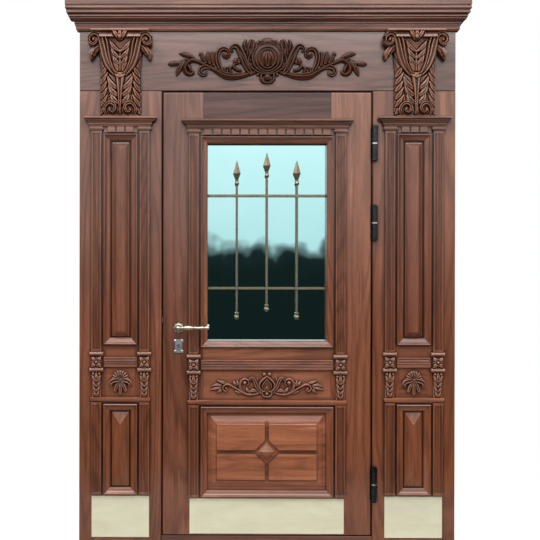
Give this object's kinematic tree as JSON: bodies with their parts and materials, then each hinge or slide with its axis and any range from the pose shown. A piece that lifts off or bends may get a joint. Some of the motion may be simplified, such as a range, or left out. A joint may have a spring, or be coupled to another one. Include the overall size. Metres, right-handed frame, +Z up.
{
  "type": "carved entrance door set",
  "caption": "Carved wooden entrance door with frame: hinged leaf with glazing and spear grille between panelled side bays, acanthus capitals, carved frieze and cornice.",
  "frame": {"origin": "centre of the sill's bottom face, at floor level and mid-depth of the frame", "axes": "+X to the viewer's right along the wall, +Y from the carved outer side towards the inside, +Z up"},
  "size_m": [1.862, 0.218, 2.525],
  "materials": {
    "varnished_wood": "satin",
    "brushed_brass": "satin",
    "seal_rubber": "matte",
    "lock_steel": "satin",
    "washer_steel": "gloss",
    "hinge_black": "satin",
    "tinted_glass": "polished",
    "grille_bronze": "satin",
    "handle_brass": "satin",
    "escutcheon_steel": "satin"
  },
  "bodies": {
    "frame": {"left_outer_post": "varnished_wood", "left_jamb": "varnished_wood", "right_jamb": "varnished_wood", "right_outer_post": "varnished_wood", "side_rails": "varnished_wood", "door_stops": "varnished_wood", "threshold": "varnished_wood", "head_beams": "varnished_wood", "frieze_board": "varnished_wood", "cornice": "varnished_wood", "cornice_cap": "varnished_wood", "frieze_carving": "varnished_wood", "left_capital": "varnished_wood", "right_capital": "varnished_wood", "side_entablatures": "varnished_wood", "side_upper_pilasters": "varnished_wood", "side_upper_frames": "varnished_wood", "side_upper_panels": "varnished_wood", "side_reeded_strips": "varnished_wood", "side_blocks": "varnished_wood", "side_shells": "varnished_wood", "side_waists": "varnished_wood", "side_lower_pilasters": "varnished_wood", "side_lower_frames": "varnished_wood", "side_lower_panels": "varnished_wood", "side_kick_plates": "brushed_brass", "side_rear_beads": "varnished_wood", "frame_seal": "seal_rubber", "strike_plate": "lock_steel", "frame_hinges": "hinge_black", "hinge_pins": "lock_steel", "hinge_washers": "washer_steel"},
    "leaf": {"leaf_rails": "varnished_wood", "leaf_entablature": "varnished_wood", "leaf_upper_pilasters": "varnished_wood", "leaf_reeded_strip": "varnished_wood", "leaf_blocks": "varnished_wood", "leaf_carving": "varnished_wood", "leaf_waist": "varnished_wood", "leaf_lower_pilasters": "varnished_wood", "leaf_lower_frame": "varnished_wood", "leaf_lower_panel": "varnished_wood", "leaf_kick_plate": "brushed_brass", "leaf_rear_beads": "varnished_wood", "leaf_hinges": "hinge_black", "lock_stile": "varnished_wood", "hinge_stile": "varnished_wood", "glazing_bead": "varnished_wood", "glass_unit": "tinted_glass", "grille": "grille_bronze", "lock_case": "lock_steel", "handle_roses": "handle_brass", "escutcheons": "escutcheon_steel", "lock_cylinder": "lock_steel"},
    "levers": {"outer_lever": "handle_brass", "inner_lever": "handle_brass"},
    "latch": {"latch_bolt": "lock_steel"},
    "bolt": {"dead_bolt": "lock_steel"},
    "turn": {"thumb_turn": "handle_brass"}
  },
  "joints": [
    {"name": "leaf_swing", "type": "hinge", "parent": "frame", "child": "leaf", "pos_m": [0.493, -0.0751, 1], "axis": [0, 0, 1], "range_deg": [0, 110]},
    {"name": "lever_turn", "type": "hinge", "parent": "leaf", "child": "levers", "pos_m": [-0.407, 0, 1], "axis": [0, 1, 0], "range_deg": [0, 45]},
    {"name": "latch_slide", "type": "slide", "parent": "leaf", "child": "latch", "axis": [1, 0, 0], "range_m": [0, 0.012]},
    {"name": "thumb_turn", "type": "hinge", "parent": "leaf", "child": "turn", "pos_m": [-0.407, 0, 0.915], "axis": [0, 1, 0], "range_deg": [0, 90]},
    {"name": "bolt_slide", "type": "slide", "parent": "leaf", "child": "bolt", "axis": [-1, 0, 0], "range_m": [0, 0.02]}
  ],
  "couplings": [
    {"joint": "latch_slide", "follows": "lever_turn", "m_per_rad": 0.015279},
    {"joint": "thumb_turn", "follows": "bolt_slide", "rad_per_m": 78.54}
  ]
}
